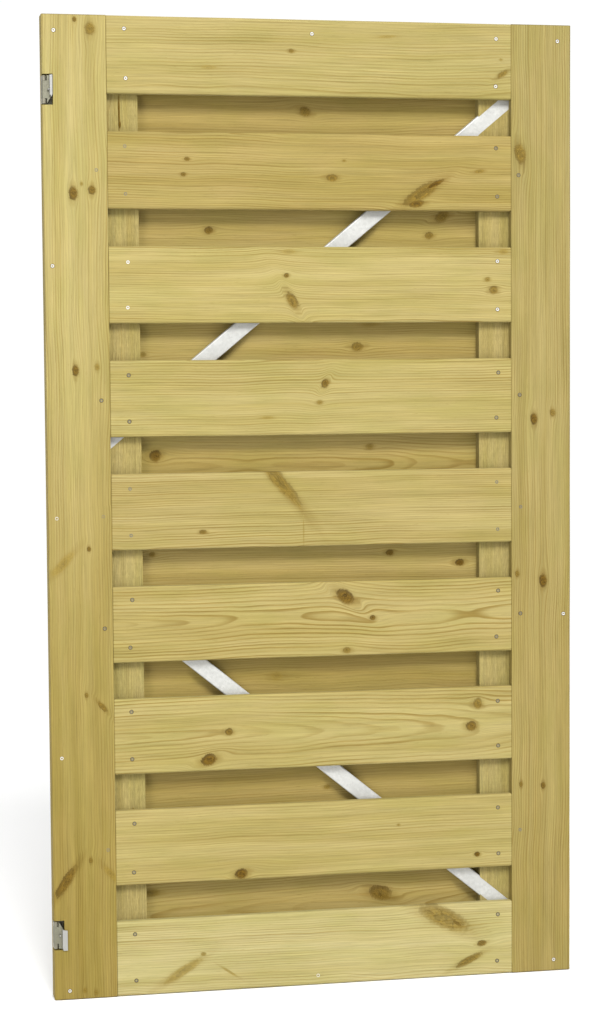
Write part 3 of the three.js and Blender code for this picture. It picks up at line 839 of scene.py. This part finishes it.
# along, across, radius, stretch, tilt in degrees, strength
FRONT_KNOTS = [
    [(-192, -20, 4, 4, 0, 0.35), (-39, 12, 4, 1.2, 0, 0.7), (142, 42, 3, 6, 4, 0.4),
     (363, -23, 5, 2.4, 32, 0.7), (360, 4, 2.5, 1.2, 0, 0.55)],
    [(-234, 21, 4, 1.3, 0, 0.75), (-241, -7, 4, 1.2, 0, 0.75), (36, -11, 7, 1.5, 0, 0.72),
     (59, 21, 2.5, 1.3, 0, 0.6), (318, 4, 4, 2.4, 8, 0.6), (206, -38, 12, 3.3, 33, 0.72),
     (196, -57, 7.5, 2.0, 8, 0.85), (228, -23, 5, 4.8, 27, 0.95)],
    [(-47, 61, 5, 3, 0, 0.35), (-51, 17, 4.5, 1.1, 0, 0.8), (-41, -29, 9, 1.9, -60, 0.72),
     (364, 62, 5, 2, 0, 0.5), (333, 10, 4.5, 1.2, 0, 0.65), (345, -10, 8, 1.1, 0, 0.72)],
    [(21, 25, 7, 1.2, 60, 0.8), (10, -10, 4.5, 1.3, 0, 0.62), (-89, -37, 3, 4, 0, 0.4)],
    [(-74, 61, 12, 6.4, -51, 0.68), (-34, 12, 2.5, 6, -51, 0.6), (-211, -39, 4, 1.8, 0, 0.75),
     (-22, -40, 1.4, 18, 90, 0.35)],
    [(56, 41, 12, 1.55, -36, 0.85), (109, 0, 5, 1.1, 0, 0.85), (59, -60, 6, 1.3, 0, 0.7)],
    [(-166, 2, 7, 1.1, 0, 0.8), (-204, -49, 11, 1.35, 18, 0.9), (313, 38, 11, 0.78, 0, 0.7),
     (300, -5, 9.5, 1.1, 0, 0.8)],
    [(-145, -59, 10, 1.2, 10, 0.92), (157, 20, 2.5, 1.2, 0, 0.6), (311, -44, 5, 1.1, 0, 0.95)],
    [(-218, 1, 4, 1.3, 0, 0.62), (-257, -29, 9, 4.8, 31, 0.55), (246, 44, 19, 2.8, -26, 0.66),
     (268, 34, 6, 3.2, -34, 0.8), (320, -9, 6, 1.6, 8, 0.8), (295, -40, 7, 4.2, 25, 0.72),
     (-170, -35, 2.5, 7, -34, 0.5)],
]
REAR_KNOTS = [
    [(-6, 10, 9, 1.2, -20, 0.7), (330, -30, 6, 1.3, 0, 0.6), (-300, 44, 7, 1.2, 0, 0.7)],
    [(-189, -2, 7, 1.2, 0, 0.82), (256, 26, 10, 1.5, 25, 0.68), (231, -10, 7, 1.2, 0, 0.72)],
    [(-314, -23, 5, 1.3, 0, 0.6), (91, -11, 9, 1.3, 0, 0.72), (115, 32, 6, 3, 0, 0.35)],
    [(-293, -3, 11, 1.05, 0, 0.88), (114, 9, 6, 1.4, 0, 0.6), (260, 50, 8, 1.2, 0, 0.7)],
    [(-301, 22, 5, 1.2, 0, 0.7), (152, 15, 6, 1.3, 0, 0.82), (289, -7, 7, 1.3, 0, 0.92)],
    [(-68, -6, 9, 1.4, 0, 0.35), (210, -46, 7, 1.2, 0, 0.7)],
    [(28, -13, 5, 1.3, 0, 0.6), (-240, 48, 8, 1.3, 12, 0.75)],
    [(-308, 8, 7, 2.2, 0, 0.6), (131, -15, 14, 1.6, -14, 0.78)],
]
# Along a cover board upwards, across it towards the left
LEFT_KNOTS = [
    (891, -2, 4, 1.2, 0, 0.8), (875, -30, 10, 1.15, 0, 0.68), (580, 4, 8.5, 1.5, 0, 0.85),
    (586, -30, 7.5, 1.1, 0, 0.8), (597, -11, 3, 1.2, 0, 0.6), (260, 4, 6.5, 1.6, 0, 0.85),
    (266, -35, 5, 1.3, 0, 0.6), (-66, -16, 4, 1.2, 0, 0.8), (-93, 32, 9, 3.6, -44, 0.45),
    (-335, -8, 4, 1.2, 0, 0.7), (-357, -37, 5, 2.4, 40, 0.72), (-642, -12, 4, 1.2, 0, 0.7),
    (-680, 34, 9, 3.8, -34, 0.8), (-668, -48, 7, 2.8, 40, 0.45), (-885, 2, 4, 1.2, 0, 0.6),
    (-890, -19, 4, 1.2, 0, 0.6),
]
RIGHT_KNOTS = [
    (661, 41, 11, 1.7, 10, 0.7), (163, 14, 7, 1.5, 0, 0.88), (174, -23, 6, 1.2, 0, 0.7),
    (-145, -4, 8, 1.5, 0, 0.9), (-131, 47, 5, 1.2, 0, 0.7), (-535, 40, 4, 1.2, 0, 0.7),
    (-539, -4, 5, 1.2, 0, 0.82),
]
BATTEN_MARKS = [  # a resin crack with a knot at its foot, and a pin knot
    (728, -16, 1.6, 19, 0, 0.95),
    (706, -17, 2.5, 2.5, 0, 0.9),
    (-554, -27, 2, 1.2, 0, 0.7),
]

# name, colour, metallic, roughness, crystals per millimetre, colour of the painted highlight on what
# stands proud
GALVANISED = zinc_material("galvanised_steel", (0.42, 0.42, 0.4, 1.0), 0.25, 0.38, 0.22)
# Painted highlight for the hinge parts that stand proud of the wood
PROUD_HIGHLIGHT_ZINC = (0.3, 0.298, 0.28, 1.0)
PLATED = zinc_material("zinc_plate", (0.18, 0.174, 0.125, 1.0), 0.5, 0.34, 0.6, PROUD_HIGHLIGHT_ZINC)
BRACKET = zinc_material("bracket_zinc", (0.19, 0.178, 0.13, 1.0), 0.4, 0.38, 0.5)
BRIGHT_SCREW = zinc_material("bright_screw", (0.5, 0.5, 0.49, 1.0), 0.4, 0.34, 1.2)
DULL_SCREW = zinc_material("dull_screw", (0.13, 0.118, 0.085, 1.0), 0.4, 0.38, 1.2)
RECESS_SHADE = recess_shade_material()
# Pressed-in wood and painted shade round the screw heads
PRESSED_PINE_AND_SHADE = pine_material("pressed_pine_and_gap_shade", PRESSED_SHADE_LOOK, (WIDTH * 2, HEIGHT * 2))


# The boards

# Stands a board on its end
UPRIGHT = Matrix(((0, 0, -1, 0), (0, 1, 0, 0), (1, 0, 0, 0), (0, 0, 0, 1)))


def board_middle(row):
    """The height of a board's middle; half a row down is the rear board behind the gap."""
    return HEIGHT - BOARD / 2 - row * PITCH


def front_boards():
    length = WIDTH - 2 * COVER - 2 * END_GAP
    for row in range(FRONT_ROWS):
        name = f"front_board_{row + 1}"
        material = pine_material(f"pine_{name}", FRONT_LOOKS[row], (length, BOARD), FRONT_KNOTS[row])
        cup, seed = rng.uniform(-0.3, 0.3), rng.uniform(0, 6)
        bm = slab(length, BOARD, THICK, FRONT_EASES, cup=cup, seed=seed)
        middle = row_point(WIDTH / 2, THICK / 2, board_middle(row))
        made = make_object(f"{name}_planed", bm, [material], Matrix.Translation(middle))
        stand_in(made, [name])


def rear_boards():
    length = WIDTH - 2 * REAR_INSET
    for row in range(REAR_ROWS):
        name = f"rear_board_{row + 1}"
        material = pine_material(f"pine_{name}", REAR_LOOKS[row], (length, BOARD), REAR_KNOTS[row])
        cup, seed = rng.uniform(-0.2, 0.2), rng.uniform(0, 6)
        bm = slab(length, BOARD, REAR_THICK, REAR_EASES, cup=cup, seed=seed)
        middle = row_point(WIDTH / 2, REAR_FRONT + REAR_THICK / 2, board_middle(row + 0.5))
        made = make_object(f"{name}_planed", bm, [material], Matrix.Translation(middle))
        stand_in(made, [name])


def cover_boards():
    """Each cover board has a material for each half, as each half has its own knots."""
    notches = [(z - HEIGHT / 2, NOTCH_HALF, COVER / 2 - NOTCH_DEPTH) for z in HINGE_Z]
    left, right = COVER / 2, WIDTH - COVER / 2
    cover_board("left_cover_board", left, LEFT_COVER_SHEEN_LOOK, LEFT_KNOTS, notches, LEFT_COVER_EASES)
    cover_board("right_cover_board", right, RIGHT_COVER_LOOK, RIGHT_KNOTS, [], RIGHT_COVER_EASES)


def cover_board(name, x, look, knots, notches, eases):
    seed = rng.uniform(0, 60)
    halves = []
    for half, side in (("upper", 1), ("lower", -1)):
        own = [knot for knot in knots if knot[0] * side > 0]
        halves.append(pine_material(f"pine_{name}_{half}", look, (HEIGHT, COVER), own, seed=seed))
    bm = slab(HEIGHT, COVER, THICK, eases, notches, cup=COVER_CUP, seed=rng.uniform(0, 6))
    for face in bm.faces:
        face.material_index = 0 if face.calc_center_median().x > 0 else 1
    matrix = Matrix.Translation(row_point(x, THICK / 2, HEIGHT / 2)) @ UPRIGHT
    stand_in(make_object(f"{name}_planed", bm, halves, matrix), [name])


BROKEN_ANGLE = 35  # degrees; an edge as sharp as this is broken


def soften(node, width):
    """A CAD piece with its edges broken by a small round."""
    bevel = node.modifiers.new("broken_edges", "BEVEL")
    bevel.width = width * MM
    bevel.segments = 2
    bevel.limit_method = "ANGLE"
    bevel.angle_limit = math.radians(BROKEN_ANGLE)
    bevel.harden_normals = False


def dress(node_name, material, width):
    """Gives a CAD piece its material and breaks its edges by a width."""
    node = frame["nodes"][node_name]
    node.data.materials.clear()
    node.data.materials.append(material)
    soften(node, width)


def core_wood():
    """Sawn battens and laths keep the CAD's housings for the tubes and braces."""
    uprights = ((BATTENS, BATTEN_TONES, BATTEN_WIDTH), (LATHS, LATH_TONES, LATH_WIDTH))
    for places, tone, span in uprights:
        for name, x in places.items():
            pith = rng.uniform(-40, 40), rng.uniform(30, 60)
            look = (*tone, *pith, CORE_TAPER, CORE_SPACING, CORE_CONTRAST)
            middle = row_point(x, CORE_MIDDLE, HEIGHT / 2)
            marks = BATTEN_MARKS if name == "hinge_side_batten" else ()
            material = pine_material(f"pine_{name}", look, (HEIGHT, span), marks, 1.0, middle)
            dress(name, material, 0.6)


# The steel

TUBE_CORNER_STEPS = 5
TUBE_LENGTHS = 8


def tube_outline(half_w, half_d, radius):
    """Points (across, depth) round a rounded rectangle."""
    points = []
    for cx, cy, first in ((1, 1, 0), (-1, 1, 90), (-1, -1, 180), (1, -1, 270)):
        for k in range(TUBE_CORNER_STEPS + 1):
            a = math.radians(first + 90 * k / TUBE_CORNER_STEPS)
            across = cx * (half_w - radius) + radius * math.cos(a)
            points.append((across, cy * (half_d - radius) + radius * math.sin(a)))
    return points


def tube(name, start, direction, cuts):
    """A rounded tube along a direction in the plane of the gate, its ends cut square to x or z.

    cuts: (axis, low, high), where the walls stop.
    """
    axis, low, high = cuts
    unit = Vector(direction).normalized()
    normal = Vector((-unit.y, unit.x))
    bm = bmesh.new()

    def loop(points, stop):
        made = []
        for across, depth in points:
            base = Vector(start) + normal * across
            place = base + unit * ((stop - base[axis]) / unit[axis])
            made.append(bm.verts.new((place.x, TUBE_FRONT + TUBE_D / 2 + depth, place.y)))
        return made

    def skin(a, b):
        for k in range(len(a)):
            n = (k + 1) % len(a)
            bm.faces.new([a[k], a[n], b[n], b[k]])

    outer = tube_outline(TUBE_W / 2, TUBE_D / 2, TUBE_R)
    inner = tube_outline(TUBE_W / 2 - TUBE_WALL, TUBE_D / 2 - TUBE_WALL, TUBE_R - TUBE_WALL)
    stops = [low + (high - low) * k / TUBE_LENGTHS for k in range(TUBE_LENGTHS + 1)]
    outer_loops = [loop(outer, s) for s in stops]
    inner_loops = [loop(inner, s) for s in stops]
    for a, b in zip(outer_loops, outer_loops[1:]):
        skin(a, b)
    for a, b in zip(inner_loops, inner_loops[1:]):
        skin(b, a)
    skin(inner_loops[0], outer_loops[0])
    skin(outer_loops[-1], inner_loops[-1])
    matrix = Matrix.Translation(row_point(0, 0, 0))
    made = make_object(f"{name}_galvanised", bm, [GALVANISED], matrix)
    stand_in(made, [name])


def steel_frame():
    for name, x in UPRIGHTS.items():
        tube(name, (x, 0), (0, 1), (1, FRAME_END, HEIGHT - FRAME_END))
    for name, z in RAILS.items():
        tube(name, (0, z), (1, 0), (0, *SPAN))
    for name, (hinge_z, lock_z) in BRACES.items():
        middle = (WIDTH / 2, (hinge_z + lock_z) / 2)
        tube(name, middle, (SPAN[1] - SPAN[0], lock_z - hinge_z), (0, *SPAN))


def hinges():
    for level in ("upper", "lower"):
        dress(f"{level}_hinge_bracket", BRACKET, 0.4)
        dress(f"{level}_hinge_pin", PLATED, 0.15)
        dress(f"{level}_post_leaf", PLATED, 0.35)
        dress(f"{level}_leaf_bolt", PLATED, 0.2)


# The screws


def driven(columns, middle, rise, stray):
    """Screws in columns above and below a board's middle, each a little off its place."""
    places = []
    for x in columns:
        for side in (1, -1):
            x_stray = rng.uniform(-stray, stray)
            z_stray = rng.uniform(-SCREW_STRAY_Z, SCREW_STRAY_Z)
            places.append((x + x_stray, middle + side * rise + z_stray))
    return places


def all_screws():
    for line, places in COVER_SCREWS.items():
        nodes = [f"{line}_screw_{k + 1}" for k in range(len(places))]
        zinc = BRIGHT_SCREW if line.endswith("outer") else DULL_SCREW
        screws(f"{line}_screw_heads", places, nodes, zinc)
    for name, z in RAIL_SCREWS.items():
        screws(f"{name}_head", [(WIDTH / 2, z)], [name], BRIGHT_SCREW)
    for row in range(FRONT_ROWS):
        places = driven(FRONT_SCREW_X, board_middle(row), FRONT_SCREW_RISE, FRONT_SCREW_STRAY)
        zinc = BRIGHT_SCREW if row in SHINY_ROWS else DULL_SCREW
        screws(f"front_board_{row + 1}_screw_heads", places, [], zinc)
    back = REAR_FRONT + REAR_THICK
    for row in range(REAR_ROWS):
        places = driven(REAR_SCREW_X, board_middle(row + 0.5), REAR_SCREW_RISE, REAR_SCREW_STRAY)
        name = f"rear_board_{row + 1}_screw_heads"
        screws(name, places, [], DULL_SCREW, front=back, facing=-1)


# Floor, light and camera

FLOOR_CENTRE = (0, -1.0, -0.001)  # just under the gate, and reaching further in front of it
BEHIND_RANGE, OVERHEAD_RANGE = (-0.1, 0.3), (0.3, 0.6)  # where the backdrop fades in, by direction
AIM = (0, 0, 0.8)
KEY_PLACE, KEY_SIZE, KEY_POWER = (0.3, -6.6, 6.4), 3.4, 1005
FILL_PLACE, FILL_SIZE, FILL_POWER = (-3.8, -4.6, 2.0), 2.4, 100
CAMERA_PLACE = (-0.8282, -4.1138, 1.1656)
CAMERA_YAW, CAMERA_PITCH, CAMERA_ROLL = 11.0055, 3.6755, 0.4087  # degrees
CAMERA_LENS, CAMERA_SENSOR = 79.2, 36


def floor():
    bm = bmesh.new()
    bmesh.ops.create_grid(bm, x_segments=8, y_segments=8, size=FLOOR_HALF / MM)
    material, g, shader = new_material("pale_floor")
    grey, white = (0.85, 0.85, 0.845, 1.0), (0.88, 0.88, 0.875, 1.0)
    g.feed(shader.inputs["Base Color"], g.mix(g.noise(own_place(g), 1.5, 3.0), grey, white))
    shader.inputs["Roughness"].default_value = 0.9
    make_object("studio_floor", bm, [material], Matrix.Translation(FLOOR_CENTRE))


def world():
    """A bright backdrop behind and above, and a dimmer room in front."""
    made = bpy.data.worlds.new("studio_world")
    made.use_nodes = True
    g = Graph(made.node_tree)
    direction = g.split(g.node("ShaderNodeTexCoord").outputs["Generated"])
    behind, overhead = g.step(direction[1], *BEHIND_RANGE), g.step(direction[2], *OVERHEAD_RANGE)
    background = made.node_tree.nodes["Background"]
    background.inputs["Color"].default_value = (1.0, 1.0, 1.0, 1.0)
    bright = g.math("MAXIMUM", behind, overhead)
    g.feed(background.inputs["Strength"], g.mix_value(bright, ROOM_LIGHT, BACKDROP_LIGHT))
    bpy.context.scene.world = made


def lamp(name, place, size, power):
    data = bpy.data.lights.new(name, "AREA")
    data.shape = "DISK"
    data.size = size
    data.energy = power
    made = bpy.data.objects.new(name, data)
    made.location = place
    made.rotation_euler = (Vector(AIM) - Vector(place)).to_track_quat("-Z", "Y").to_euler()
    bpy.context.scene.collection.objects.link(made)


def camera():
    yaw, pitch, roll = (math.radians(a) for a in (CAMERA_YAW, CAMERA_PITCH, CAMERA_ROLL))
    ahead = math.cos(pitch)
    forward = Vector((math.sin(yaw) * ahead, math.cos(yaw) * ahead, -math.sin(pitch)))
    level = Vector((math.cos(yaw), -math.sin(yaw), 0))
    down = forward.cross(level)
    right = level * math.cos(roll) + down * math.sin(roll)
    down = down * math.cos(roll) - level * math.sin(roll)
    data = bpy.data.cameras.new("camera")
    data.lens = CAMERA_LENS
    data.sensor_width = CAMERA_SENSOR
    made = bpy.data.objects.new("camera", data)
    bpy.context.scene.collection.objects.link(made)
    turn = Matrix((right, -down, -forward)).transposed()
    made.matrix_world = Matrix.Translation(CAMERA_PLACE) @ turn.to_4x4()
    bpy.context.scene.camera = made


front_boards()
rear_boards()
cover_boards()
core_wood()
steel_frame()
hinges()
all_screws()
floor()
world()
lamp("key_softbox", KEY_PLACE, KEY_SIZE, KEY_POWER)
lamp("fill_softbox", FILL_PLACE, FILL_SIZE, FILL_POWER)
camera()
bpy.context.scene.view_settings.view_transform = "Standard"

bpy.context.view_layer.update()
